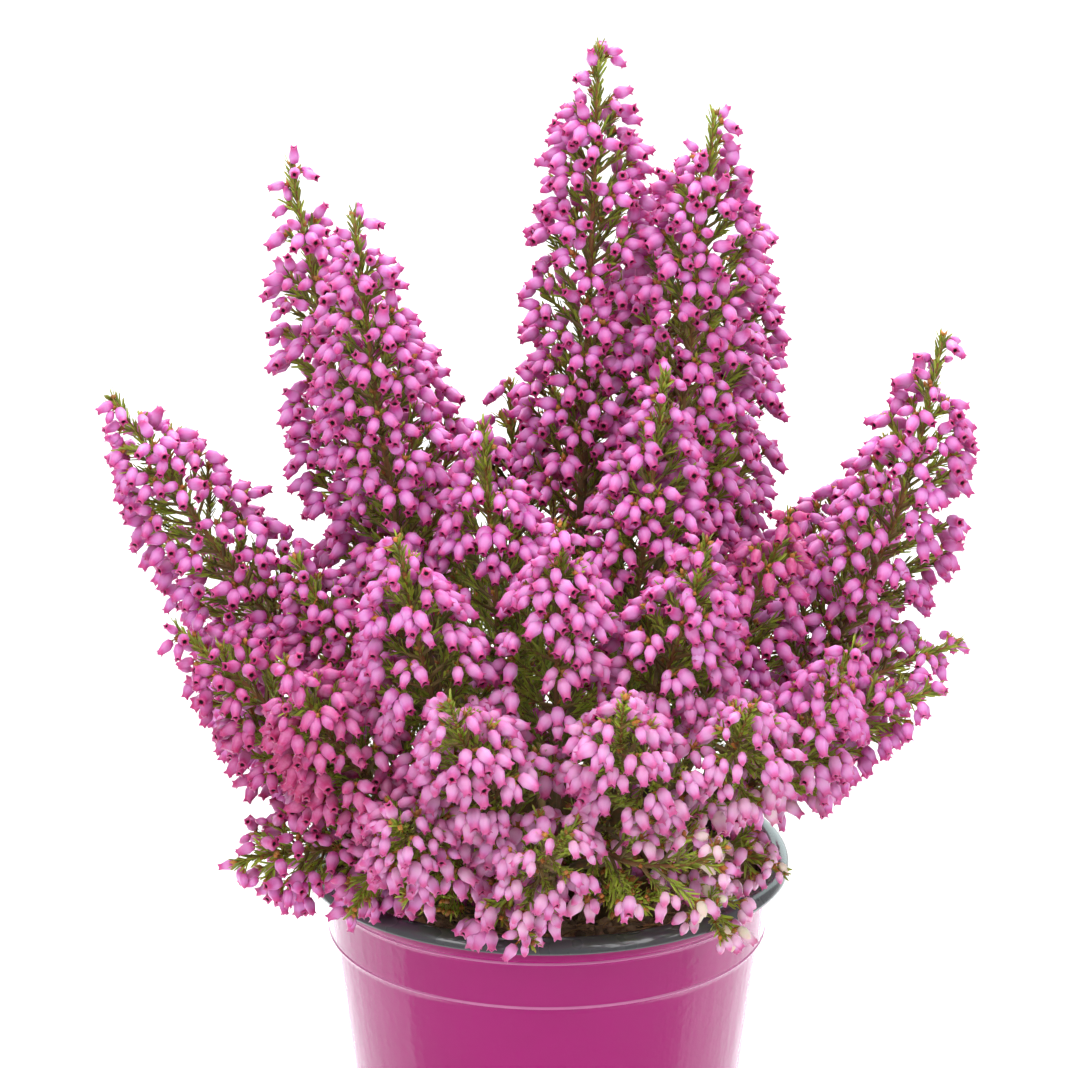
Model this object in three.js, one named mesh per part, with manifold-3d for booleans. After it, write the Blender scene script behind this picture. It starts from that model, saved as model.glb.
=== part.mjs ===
// Cape heath in flower in a two-tone plastic nursery pot.
// Millimetres, +Z up, origin at the centre of the pot's underside, the photographed side towards -Y.

import * as THREE from "three";
import Module from "manifold-3d";
import { mergeVertices } from "three/addons/utils/BufferGeometryUtils.js";

// Pot, a 120 mm nursery pot
const potHeight = 106.5;
const lipRadius = 60;
const lipTopRadius = 56.6;
const lipMouthRadius = 53.6;
const lipEdgeDrop = 2.9;
const lipEdgeThickness = 1;
const lipRoll = 1.9;
const lipThroat = 4.2;
const collarDrop = 7.5;
const collarRadius = 54.9;
const stepDrop = 19.3;
const stepRadius = 53.8;
const stepDepth = 0.9;
const footRadius = 42.4;
const footRounding = 2.2;
const wall = 1.3;
const floorThickness = 1.6;
const potSides = 40;
const drainCount = 4;
const drainCircle = 27;
const drainRadius = 4;
const drainSides = 6;

// Compost
const soilGap = 0.3;
const soilEdgeDrop = 8;
const soilRise = 2.4;
const soilCrown = 32;
const soilRipple = 0.7;
const soilRippleTurns = [0.31, 0.27];
const soilSides = 20;
const holeGap = 0.35;
const holeSides = 5;

// Stems
const stemDepth = 14;
const stemCollar = 3.2;
const stemFoot = 1.1;
const stemPerHeight = 0.004;
const stemTaper = 0.45;
const stemLeast = 0.8;
const footNear = 3;
const footSpread = 0.235;
const footLimit = 29;
const pathSteps = 28;
const ringStride = 4;
const spreadPasses = 90;
const spreadPush = 0.3;
const smoothing = 0.2;
const roomStem = 2.4;
const roomCore = 0.78;

// Sprays, whose cores stay inside the florets; low ones are blunt, tall ones slender
const sprayOpening = 22;
const bluntOpening = 12;
const bluntBelow = 130;
const slenderAbove = 190;
const sprayTip = 2;
const sprayClosing = 0.12;
const coreShare = 0.5;
const coreSides = 5;
const coreGap = 0.5;
const solidGap = 0.45;
const bushCentre = new THREE.Vector3(0, 0, 150);
const bushRadius = new THREE.Vector3(76, 74, 60);

// Florets, larger than life so that a few hundred of them cover the sprays
const floretLength = 12.5;
const floretBelly = 6.5;
const floretBellyAt = 0.52;
const floretMouth = 3.9;
const floretHollow = 0.86;
const floretSides = 4;
const floretSunk = 2;
const floretTipSet = 5;
const floretStep = 4;
const floretsAround = 4;
const floretSpacing = 13.8;
const floretOverlap = 0.8;
const floretLift = 0.7;
const floretDroop = 0.2;
const tipLift = 3;
const hangBelow = 200;
const hangMost = 0.6;

// How full the balls are that stand for a bell when its room is tested
const shoulderFill = 0.6;
const bellyFill = 0.95;
const waistFill = 1.04;
const mouthFill = 0.95;

// Needles at their true size
const needleLength = 3.7;
const needleRadius = 0.42;
const needleSides = 3;
const needleSunk = 0.9;
const needleLift = 0.9;
const needleStep = 32;
const leafyStep = 3;
const needleTries = 5;
const rootShare = 0.8;
const goldenAngle = Math.PI * (3 - Math.sqrt(5));

const pink = { color: 0xd25fb8, roughness: 0.55, metalness: 0 };
const green = { color: 0x6f8a33, roughness: 0.6, metalness: 0 };
const peat = { color: 0x3a2a1e, roughness: 0.95, metalness: 0 };
const magenta = { color: 0xac2e7c, roughness: 0.3, metalness: 0 };

// Every flowering stem: its tip, how far out and how high its bend lies, the spray's half width
// near its foot, and the share of the stem that is bare of florets.
const sprays = [
  { name: "far_left", tip: [-103, -5, 223], out: 0.62, rise: 160, spread: 20, bare: 0.3 },
  { name: "left_tall", tip: [-61, 12, 276], out: 0.74, rise: 175, spread: 16, bare: 0.4 },
  { name: "left_front", tip: [-45, -18, 271], out: 0.85, rise: 174, spread: 18, bare: 0.42 },
  { name: "centre_tall", tip: [12, 6, 305], out: 0.7, rise: 200, spread: 17, bare: 0.35 },
  { name: "right_tall", tip: [39, 0, 291], out: 0.85, rise: 190, spread: 20, bare: 0.35 },
  { name: "far_right", tip: [94, 0, 237], out: 0.93, rise: 150, spread: 19, bare: 0.38 },
  { name: "centre_small", tip: [-15, -32, 224], out: 0.8, rise: 160, spread: 20, bare: 0.42 },
  { name: "centre_front", tip: [27, -30, 236], out: 0.8, rise: 165, spread: 19, bare: 0.42 },
  { name: "centre_back", tip: [-9, 17, 220], out: 0.8, rise: 165, spread: 20, bare: 0.45 },
  { name: "right_ridge", tip: [57, -28, 202], out: 0.7, rise: 150, spread: 20, bare: 0.42 },
  { name: "left_shoulder", tip: [-59, -30, 191], out: 0.7, rise: 152, spread: 20, bare: 0.4 },
  { name: "front_left_high", tip: [-34, -66, 208], out: 0.8, rise: 150, spread: 21, bare: 0.42 },
  { name: "front_high", tip: [3, -62, 210], out: 0.8, rise: 155, spread: 21, bare: 0.42 },
  { name: "front_right_high", tip: [36, -60, 205], out: 0.8, rise: 150, spread: 21, bare: 0.42 },
  { name: "left_front_mid", tip: [-60, -64, 178], out: 0.75, rise: 135, spread: 21, bare: 0.4 },
  { name: "front_left_mid", tip: [-22, -89, 177], out: 0.75, rise: 135, spread: 21, bare: 0.4 },
  { name: "front_right_mid", tip: [17, -90, 178], out: 0.75, rise: 135, spread: 21, bare: 0.4 },
  { name: "right_front_mid", tip: [46, -80, 173], out: 0.75, rise: 132, spread: 21, bare: 0.4 },
  { name: "right_front_side", tip: [71, -54, 178], out: 0.75, rise: 138, spread: 18, bare: 0.48 },
  { name: "left_mid", tip: [-87, -30, 174], out: 0.72, rise: 139, spread: 19, bare: 0.44 },
  { name: "left_low", tip: [-76, -24, 151], out: 0.65, rise: 136, spread: 14, bare: 0.42 },
  { name: "left_foot", tip: [-73, -45, 121], out: 0.75, rise: 130, spread: 18, bare: 0.4 },
  { name: "left_front_foot", tip: [-45, -62, 116], out: 0.7, rise: 132, spread: 14, bare: 0.45 },
  { name: "front_left_low", tip: [-34, -84, 146], out: 0.65, rise: 134, spread: 18, bare: 0.42 },
  { name: "front_low", tip: [4, -92, 147], out: 0.65, rise: 134, spread: 18, bare: 0.42 },
  { name: "front_foot", tip: [-4, -76, 114], out: 0.7, rise: 138, spread: 13, bare: 0.5 },
  { name: "front_right_low", tip: [40, -80, 139], out: 0.65, rise: 130, spread: 18, bare: 0.42 },
  { name: "right_front_foot", tip: [40, -69, 113], out: 0.7, rise: 132, spread: 13, bare: 0.48 },
  { name: "right_foot", tip: [55, -48, 120], out: 0.65, rise: 128, spread: 15, bare: 0.45 },
  { name: "right_mid", tip: [98, -12, 164], out: 0.64, rise: 157, spread: 16, bare: 0.42 },
  { name: "right_low", tip: [92, -28, 158], out: 0.7, rise: 154, spread: 15, bare: 0.42 },
  { name: "back_left_tall", tip: [-39, 44, 236], out: 0.8, rise: 168, spread: 18, bare: 0.38 },
  { name: "back_tall", tip: [30, 40, 266], out: 0.8, rise: 180, spread: 20, bare: 0.38 },
  { name: "back_right_tall", tip: [50, 40, 254], out: 0.78, rise: 176, spread: 18, bare: 0.38 },
  { name: "back_left", tip: [-86, 46, 170], out: 0.7, rise: 136, spread: 18, bare: 0.4 },
  { name: "back_right", tip: [86, 40, 200], out: 0.75, rise: 142, spread: 21, bare: 0.4 },
  { name: "back_left_mid", tip: [-42, 80, 190], out: 0.75, rise: 140, spread: 21, bare: 0.4 },
  { name: "back_mid", tip: [2, 90, 196], out: 0.75, rise: 142, spread: 21, bare: 0.4 },
  { name: "back_right_mid", tip: [46, 82, 186], out: 0.75, rise: 138, spread: 21, bare: 0.4 },
  { name: "left_back_low", tip: [-84, 30, 148], out: 0.65, rise: 128, spread: 19, bare: 0.42 },
  { name: "back_left_low", tip: [-34, 80, 140], out: 0.65, rise: 128, spread: 19, bare: 0.42 },
  { name: "back_foot", tip: [0, 74, 114], out: 0.7, rise: 134, spread: 14, bare: 0.45 },
  { name: "back_right_low", tip: [34, 80, 140], out: 0.65, rise: 128, spread: 19, bare: 0.42 },
  { name: "right_back_low", tip: [80, 30, 150], out: 0.65, rise: 136, spread: 18, bare: 0.42 },
];

// Leafy shoots without florets
const leafyShoots = [
  { name: "front_left", tip: [-33, -56, 117], out: 0.7, rise: 124, spread: 5, bare: 0.4 },
  { name: "front_right", tip: [26, -58, 118], out: 0.7, rise: 124, spread: 5, bare: 0.4 },
];

const soilEdge = potHeight - soilEdgeDrop;
const weldDistance = 1e-4;
const up = new THREE.Vector3(0, 0, 1);
const wasm = await Module();
wasm.setup();

// Solids

function toSolid(geometry) {
  geometry.deleteAttribute("normal");
  geometry.deleteAttribute("uv");
  const welded = mergeVertices(geometry, weldDistance);
  const vertProperties = new Float32Array(welded.attributes.position.array);
  const triVerts = new Uint32Array(welded.index.array);
  return new wasm.Manifold(new wasm.Mesh({ numProp: 3, vertProperties, triVerts }));
}

function toGeometry(solid) {
  const mesh = solid.getMesh();
  const geometry = new THREE.BufferGeometry();
  geometry.setAttribute("position", new THREE.BufferAttribute(mesh.vertProperties, 3));
  geometry.setIndex(new THREE.BufferAttribute(mesh.triVerts, 1));
  geometry.computeVertexNormals();
  return geometry;
}

function lathe(profile, sides) {
  const points = profile.map(([radius, height]) => new THREE.Vector2(radius, height));
  return new THREE.LatheGeometry(points, sides);
}

// Lathes and cylinders stand along Y, so upright pieces are turned to stand along Z.
function upright(geometry) {
  return geometry.rotateX(Math.PI / 2);
}

function bore(radius, length, sides, x, y, z) {
  const cylinder = upright(new THREE.CylinderGeometry(radius, radius, length, sides));
  return toSolid(cylinder.translate(x, y, z));
}

function piece(name, geometry, finish) {
  const mesh = new THREE.Mesh(geometry, new THREE.MeshStandardMaterial(finish));
  mesh.name = name;
  return mesh;
}

// The pot is one thin shell: foot, tapered wall, step, collar and a lip that rolls out and down.

function wallRadius(height) {
  const top = potHeight - stepDrop - stepDepth;
  const topRadius = stepRadius - stepDepth;
  return footRadius + (topRadius - footRadius) * (height / top);
}

function makePot() {
  const stepHeight = potHeight - stepDrop;
  const collarHeight = potHeight - collarDrop;
  const edgeHeight = potHeight - lipEdgeDrop;
  const profile = [
    [0, 0],
    [footRadius - footRounding, 0],
    [wallRadius(footRounding), footRounding],
    [wallRadius(stepHeight - stepDepth), stepHeight - stepDepth],
    [stepRadius, stepHeight],
    [collarRadius, collarHeight],
    [lipRadius - lipEdgeThickness, edgeHeight - lipEdgeThickness],
    [lipRadius, edgeHeight],
    [lipRadius - lipRoll / 2, edgeHeight + lipRoll],
    [lipTopRadius, potHeight],
    [lipMouthRadius + wall / 2, potHeight - wall],
    [lipMouthRadius, potHeight - lipThroat],
    [collarRadius - wall, collarHeight - wall],
    [stepRadius - wall, stepHeight],
    [wallRadius(stepHeight - stepDepth) - wall, stepHeight - stepDepth],
    [wallRadius(floorThickness) - wall, floorThickness],
    [0, floorThickness],
  ];
  let pot = toSolid(upright(lathe(profile, potSides)));
  for (let i = 0; i < drainCount; i++) {
    const turn = (i / drainCount) * 2 * Math.PI;
    const [x, y] = [drainCircle * Math.cos(turn), drainCircle * Math.sin(turn)];
    pot = pot.subtract(bore(drainRadius, 4 * floorThickness, drainSides, x, y, 0));
  }
  return toGeometry(pot);
}

// Stem paths: each starts as one arch, then all of them bend clear of each other.

function arch(spray) {
  const tip = new THREE.Vector3(...spray.tip);
  const reach = Math.hypot(tip.x, tip.y);
  const inward = (footNear + footSpread * reach) / reach;
  const foot = new THREE.Vector3(tip.x * inward, tip.y * inward, soilEdge - stemDepth);
  const collar = foot.clone().setZ(soilEdge + soilRise + stemCollar);
  const bend = new THREE.Vector3(tip.x * spray.out, tip.y * spray.out, spray.rise);
  return [foot, ...new THREE.QuadraticBezierCurve3(collar, bend, tip).getPoints(pathSteps - 2)];
}

// Half width of a spray at a share of its stem: wide below, narrowing towards the tip
function sprayWidth(spray, path, share) {
  const fromTip = (1 - share) * path[1].distanceTo(path[path.length - 1]);
  const slender = THREE.MathUtils.smoothstep(spray.tip[2], bluntBelow, slenderAbove);
  const opened = 1 - Math.exp(-fromTip / THREE.MathUtils.lerp(bluntOpening, sprayOpening, slender));
  const closed = THREE.MathUtils.smoothstep(share, spray.bare - sprayClosing, spray.bare + sprayClosing);
  return (sprayTip + (spray.spread - sprayTip) * opened) * closed;
}

function coreWidth(spray, path, share) {
  const woody = (stemFoot + stemPerHeight * spray.tip[2]) * (1 - stemTaper * share);
  return Math.max(stemLeast, woody, sprayWidth(spray, path, share) * coreShare);
}

function spreadPaths(stems) {
  const paths = stems.map(arch);
  const rooms = stems.map((spray, owner) => {
    return paths[owner].map((point, step) => {
      return roomStem + roomCore * coreWidth(spray, paths[owner], step / (pathSteps - 1));
    });
  });
  const away = new THREE.Vector3();
  for (let pass = 0; pass < spreadPasses; pass++) {
    const pushes = paths.map((path) => path.map(() => new THREE.Vector3()));
    for (let a = 0; a < paths.length; a++) {
      for (let b = a + 1; b < paths.length; b++) {
        for (let i = 1; i < pathSteps; i++) {
          for (let j = 1; j < pathSteps; j++) {
            away.subVectors(paths[a][i], paths[b][j]);
            const distance = away.length();
            const lacking = rooms[a][i] + rooms[b][j] - distance;
            if (lacking <= 0) continue;
            away.multiplyScalar((spreadPush * lacking) / distance);
            pushes[a][i].add(away);
            pushes[b][j].sub(away);
          }
        }
      }
    }
    paths.forEach((path, a) => movePath(path, pushes[a]));
  }
  return paths;
}

// The tip stays where it is, and the lowest two points stay upright in the compost.
function movePath(path, pushes) {
  const last = pathSteps - 1;
  for (let i = 1; i < last; i++) {
    if (i === 1) pushes[i].z = 0;
    path[i].add(pushes[i]);
  }
  const before = path.map((point) => point.clone());
  for (let i = 2; i < last; i++) {
    const between = before[i - 1].clone().add(before[i + 1]).multiplyScalar(0.5);
    path[i].lerp(between, smoothing);
  }
  const radius = Math.hypot(path[1].x, path[1].y);
  const held = Math.min(1, footLimit / radius);
  path[1].x *= held;
  path[1].y *= held;
  path[0].x = path[1].x;
  path[0].y = path[1].y;
}

// The solids follow straight runs between rings, which stand every few steps of a path.
const ringSteps = [0];
for (let step = 1; step < pathSteps - 1; step += ringStride) ringSteps.push(step);
ringSteps.push(pathSteps - 1);

function nearestOther(routes, owner, point) {
  let nearest = Infinity;
  const run = new THREE.Line3();
  const closest = new THREE.Vector3();
  routes.forEach((route, other) => {
    if (other === owner) return;
    for (let i = 0; i + 1 < route.length; i++) {
      run.set(route[i], route[i + 1]).closestPointToPoint(point, true, closest);
      nearest = Math.min(nearest, closest.distanceTo(point));
    }
  });
  return nearest;
}

// The room that the runs on both sides of a ring leave to other stems
function freeAround(routes, owner, i) {
  const route = routes[owner];
  let nearest = Infinity;
  for (const next of [Math.max(i - 1, 0), Math.min(i + 1, route.length - 1)]) {
    for (const part of [0, 0.25, 0.5, 0.75]) {
      nearest = Math.min(nearest, nearestOther(routes, owner, route[i].clone().lerp(route[next], part)));
    }
  }
  return nearest / 2 - coreGap;
}

// Each ring has a frame that turns along the stem without twisting.
function ringsAlong(spray, routes, owner) {
  const route = routes[owner];
  let side = new THREE.Vector3(1, 0, 0);
  return route.map((point, i) => {
    const share = ringSteps[i] / (pathSteps - 1);
    const ahead = route[Math.min(i + 1, route.length - 1)];
    const behind = route[Math.max(i - 1, 0)];
    const along = new THREE.Vector3().subVectors(ahead, behind).normalize();
    side = side.clone().addScaledVector(along, -side.dot(along)).normalize();
    const across = new THREE.Vector3().crossVectors(along, side);
    const radius = Math.min(coreWidth(spray, route, share), freeAround(routes, owner, i));
    return { share, point, along, side, across, radius };
  });
}

// A lathe whose rings are moved to the frames of a stem
function makeCore(rings) {
  const profile = [[0, 0], ...rings.map((ring, i) => [ring.radius, i]), [0, rings.length - 1]];
  const geometry = lathe(profile, coreSides);
  const position = geometry.attributes.position;
  for (let i = 0; i < position.count; i++) {
    const ring = rings[Math.round(position.getY(i))];
    const moved = ring.point.clone();
    moved.addScaledVector(ring.side, position.getX(i));
    moved.addScaledVector(ring.across, -position.getZ(i));
    position.setXYZ(i, moved.x, moved.y, moved.z);
  }
  return toSolid(geometry);
}

// Florets and needles are tested as rows of balls against all that already stands.

const standing = [];
const bellies = [];

function ballsFree(balls, owner) {
  return balls.every((ball) => {
    if (inPot(ball)) return false;
    return standing.every((other) => {
      if (other.owner === owner && !other.floret) return true;
      const gap = other.owner === owner ? -floretOverlap : solidGap;
      const reach = ball.radius + other.radius + gap;
      return ball.centre.distanceToSquared(other.centre) > reach * reach;
    });
  });
}

function inPot(ball) {
  const radius = Math.hypot(ball.centre.x, ball.centre.y);
  const margin = ball.radius + solidGap;
  if (radius > lipRadius + margin || ball.centre.z > potHeight + margin) return false;
  if (radius > stepRadius - wall - margin) return true;
  return ball.centre.z < soilEdge + soilRise + margin;
}

function ballRow(root, direction, stops, floret) {
  return stops.map(([distance, radius]) => {
    const centre = root.clone().addScaledVector(direction, distance);
    return { centre, radius, floret };
  });
}

function placed(geometry, root, direction, turn) {
  const aim = new THREE.Quaternion().setFromUnitVectors(new THREE.Vector3(0, 1, 0), direction);
  const spin = new THREE.Quaternion().setFromAxisAngle(direction, turn);
  geometry.applyQuaternion(spin.multiply(aim));
  geometry.translate(root.x, root.y, root.z);
  return toSolid(geometry);
}

// One bell: a narrow root, the belly, the mouth's rim and the hollow inside it
function makeFloret(root, direction, turn) {
  const length = floretLength + floretSunk;
  const profile = [
    [0, 0],
    [floretBelly, length * floretBellyAt],
    [floretMouth, length],
    [0, length * floretHollow],
  ];
  return placed(lathe(profile, floretSides), root, direction, turn);
}

// Four balls fill a bell, at its shoulder, belly, waist and mouth.
function floretBalls(root, direction) {
  const length = floretLength + floretSunk;
  const stops = [
    [(length * floretBellyAt) / 2, floretBelly * shoulderFill],
    [length * floretBellyAt, floretBelly * bellyFill],
    [(length * (1 + floretBellyAt)) / 2, ((floretBelly + floretMouth) / 2) * waistFill],
    [length, floretMouth * mouthFill],
  ];
  return ballRow(root, direction, stops, true);
}

function makeNeedle(root, direction, turn) {
  const length = needleLength + needleSunk;
  const cone = new THREE.ConeGeometry(needleRadius, length, needleSides);
  cone.translate(0, length / 2, 0);
  return placed(cone, root, direction, turn);
}

function needleBalls(root, direction) {
  const length = needleLength + needleSunk;
  return ballRow(root, direction, [[length * 0.5, needleRadius], [length, needleRadius]], false);
}

// Places along the flowering part, from the tip downwards, turning by the golden angle

function lengthFrom(rings, share) {
  let length = 0;
  rings.slice(1).forEach((ring, i) => {
    if (ring.share > share) length += ring.point.distanceTo(rings[i].point);
  });
  return length;
}

function placeAt(rings, share) {
  const found = rings.findIndex((ring, i) => i > 0 && ring.share >= share);
  const upper = found < 0 ? rings.length - 1 : found;
  const [from, to] = [rings[upper - 1], rings[upper]];
  const part = (share - from.share) / (to.share - from.share);
  const [point, along, side, across] = ["point", "along", "side", "across"].map((key) => {
    return from[key].clone().lerp(to[key], part);
  });
  const radius = THREE.MathUtils.lerp(from.radius, to.radius, part);
  return { point, along, side, across, radius };
}

// A root under the skin of the core, and the way that grows from it
function growAt(place, angle, lift, droop, sunk) {
  const outward = place.side.clone().multiplyScalar(Math.cos(angle));
  outward.addScaledVector(place.across, Math.sin(angle));
  const direction = outward.clone().addScaledVector(place.along, lift).addScaledVector(up, -droop);
  direction.normalize();
  const inset = Math.max(0, place.radius * rootShare - sunk);
  const root = place.point.clone().addScaledVector(outward, inset);
  if (inset === 0) root.addScaledVector(direction, -sunk / 2);
  return { root, direction };
}

// Only the outside of the bush carries florets.
function exposed(point) {
  const offset = point.clone().sub(bushCentre).divide(bushRadius);
  return offset.length() > 1;
}

// The topmost floret carries on from the stem, and the others stand round it, hanging more low down.
function floretPlaces(plant) {
  const { spray, rings, owner } = plant;
  const count = Math.round(lengthFrom(rings, spray.bare) / floretStep);
  const top = growAt(placeAt(rings, 1), owner, tipLift, 0, floretSunk);
  top.root.addScaledVector(rings[rings.length - 1].along, -floretTipSet);
  const places = [{ plant, angle: owner, fromTip: 0, ...top }];
  for (let i = 1; i < count; i++) {
    const share = 1 - ((1 - spray.bare) * i) / count;
    const place = placeAt(rings, share);
    const low = THREE.MathUtils.clamp((hangBelow - place.point.z) / hangBelow, 0, 1);
    const droop = floretDroop + (1 - share) / 2 + hangMost * Math.min(1, 2 * low);
    for (let turn = 0; turn < floretsAround; turn++) {
      const angle = i * goldenAngle + (turn * 2 * Math.PI) / floretsAround + owner;
      const grown = growAt(place, angle, floretLift - (1 - share) / 2, droop, floretSunk);
      places.push({ plant, angle, fromTip: i * floretStep, ...grown });
    }
  }
  return places;
}

function addFlorets(floweringPlants) {
  const places = floweringPlants.flatMap(floretPlaces).sort((a, b) => a.fromTip - b.fromTip);
  for (const { plant, angle, root, direction } of places) {
    const balls = floretBalls(root, direction);
    const belly = balls[1].centre;
    const crowded = bellies.some((other) => other.distanceTo(belly) < floretSpacing);
    if (crowded || !exposed(belly) || !ballsFree(balls, plant.owner)) continue;
    bellies.push(belly);
    balls.forEach((ball) => standing.push({ ...ball, owner: plant.owner }));
    plant.solids.push(makeFloret(root, direction, angle));
  }
}

// Needles start a little below the florets.
function addNeedles(plant, step) {
  const { spray, rings, owner } = plant;
  const first = (2 * spray.bare) / 3;
  const count = Math.round(lengthFrom(rings, first) / step);
  for (let i = 0; i < count; i++) {
    const place = placeAt(rings, 1 - ((1 - first) * (i + 0.5)) / count);
    for (let turn = 0; turn < needleTries; turn++) {
      const angle = (i * 2 + turn + 1) * goldenAngle + owner * 2;
      const grown = growAt(place, angle, needleLift, 0, needleSunk);
      const balls = needleBalls(grown.root, grown.direction);
      if (!ballsFree(balls, owner)) continue;
      balls.forEach((ball) => standing.push({ ...ball, owner }));
      plant.solids.push(makeNeedle(grown.root, grown.direction, angle));
      break;
    }
  }
}

function coreBalls(rings, owner) {
  for (let share = 0; share <= 1; share += 0.5 / pathSteps) {
    const { point, radius } = placeAt(rings, share);
    standing.push({ centre: point, radius, owner, floret: false });
  }
}

// Compost: a plug that fills the pot to just under its lip, with a plain hole for each stem

function makeSoil(allRings) {
  const bottom = floorThickness + soilGap;
  const gap = wall + soilGap;
  const stepHeight = potHeight - stepDrop;
  const profile = [
    [0, bottom],
    [wallRadius(bottom) - gap - soilGap, bottom],
    [wallRadius(stepHeight - stepDepth) - gap, stepHeight - stepDepth - soilGap],
    [stepRadius - gap, stepHeight + soilGap],
    [lipMouthRadius - gap, soilEdge],
    [soilCrown, soilEdge + soilRise * (1 - (soilCrown / lipMouthRadius) ** 2)],
    [0, soilEdge + soilRise],
  ];
  const geometry = upright(lathe(profile, soilSides));
  const position = geometry.attributes.position;
  for (let i = 0; i < position.count; i++) {
    const [x, y, z] = [position.getX(i), position.getY(i), position.getZ(i)];
    if (z <= soilEdge) continue;
    const wave = Math.sin(1 + x * soilRippleTurns[0]) * Math.cos(y * soilRippleTurns[1]);
    position.setZ(i, z + soilRipple * wave);
  }
  let soil = toSolid(geometry);
  allRings.forEach(([foot]) => {
    const radius = (foot.radius + holeGap) / Math.cos(Math.PI / holeSides);
    const length = 2 * (stemDepth + soilGap);
    soil = soil.subtract(bore(radius, length, holeSides, foot.point.x, foot.point.y, soilEdge));
  });
  return toGeometry(soil);
}

// Assembly

const stems = [...sprays, ...leafyShoots];
const routes = spreadPaths(stems).map((path) => ringSteps.map((step) => path[step]));
const allRings = stems.map((spray, owner) => ringsAlong(spray, routes, owner));
allRings.forEach(coreBalls);
const plants = stems.map((spray, owner) => {
  const flowering = sprays.includes(spray);
  return { spray, owner, flowering, rings: allRings[owner], solids: [makeCore(allRings[owner])] };
});
addFlorets(plants.filter((plant) => plant.flowering));
plants.forEach((plant) => addNeedles(plant, plant.flowering ? needleStep : leafyStep));

const heath = new THREE.Group();
heath.name = "potted_cape_heath";
heath.add(piece("pot", makePot(), magenta));
heath.add(piece("soil", makeSoil(allRings), peat));
for (const { spray, flowering, solids } of plants) {
  const name = flowering ? `flower_stem_${spray.name}` : `leafy_shoot_${spray.name}`;
  heath.add(piece(name, toGeometry(wasm.Manifold.union(solids)), flowering ? pink : green));
}

export default heath;
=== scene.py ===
import math

import bmesh
import bpy
import numpy as np
from mathutils import Matrix, Vector, noise


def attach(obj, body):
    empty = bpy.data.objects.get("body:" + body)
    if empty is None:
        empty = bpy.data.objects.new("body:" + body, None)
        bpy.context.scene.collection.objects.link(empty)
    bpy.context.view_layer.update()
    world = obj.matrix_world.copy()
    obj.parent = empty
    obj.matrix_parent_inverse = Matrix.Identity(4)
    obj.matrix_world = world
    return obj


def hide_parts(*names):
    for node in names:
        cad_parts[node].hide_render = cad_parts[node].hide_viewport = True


# A cape heath in flower in a two-tone nursery pot.
# Metres, +Z up, origin under the pot, the photographed side towards -Y.

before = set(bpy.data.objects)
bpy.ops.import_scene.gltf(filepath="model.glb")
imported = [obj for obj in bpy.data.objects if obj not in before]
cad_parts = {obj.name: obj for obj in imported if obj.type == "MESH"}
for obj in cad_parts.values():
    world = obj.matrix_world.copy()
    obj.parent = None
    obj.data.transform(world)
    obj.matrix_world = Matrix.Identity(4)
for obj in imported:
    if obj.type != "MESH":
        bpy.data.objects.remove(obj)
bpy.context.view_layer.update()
draw = np.random.default_rng(3417)
goldenAngle = math.pi * (3 - math.sqrt(5))
fullTurn = 2 * math.pi

pot = {
    "height": 0.1065,
    "lipRadius": 0.060,
    "lipTopRadius": 0.0566,
    "roll": 0.0030,
    "mouthRadius": 0.0536,
    "edgeDrop": 0.0029,
    "throat": 0.0042,
    "collarDrop": 0.0075,
    "collarRadius": 0.0549,
    "stepDrop": 0.0193,
    "stepRadius": 0.0538,
    "stepDepth": 0.0009,
    "footRadius": 0.0424,
    "footRounding": 0.0022,
    "wall": 0.0013,
    "floor": 0.0016,
    "bead": 0.00035,
    "sides": 160,
    "drains": 4,
    "drainCircle": 0.027,
    "drainRadius": 0.004,
}

compost = {
    "edgeDrop": 0.008,
    "rise": 0.0024,
    "gap": 0.0003,
    "rings": 56,
    "sides": 150,
    "lumps": 0.0016,
    "lumpSize": 0.006,
    "crumbs": 1500,
    "paleCrumbs": 0.14,
    "crumbSizes": (0.0005, 0.0024),
    "fibres": 700,
    "fibreLengths": (0.002, 0.007),
    "fibreRadius": 0.00022,
}

# How the stems run: the same rules and numbers as the solids
stemRun = {
    "depth": 0.014,
    "collar": 0.0032,
    "footRadius": 0.0011,
    "perHeight": 0.004,
    "taper": 0.45,
    "least": 0.0008,
    "footNear": 0.003,
    "footSpread": 0.235,
    "footLimit": 0.029,
    "steps": 28,
    "passes": 90,
    "push": 0.3,
    "smoothing": 0.2,
    "room": 0.0024,
    "roomCore": 0.78,
    "coreShare": 0.5,
    "openings": (0.012, 0.022),
    "openingHeights": (0.130, 0.190),
    "tipWidth": 0.002,
    "closing": 0.12,
}

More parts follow.
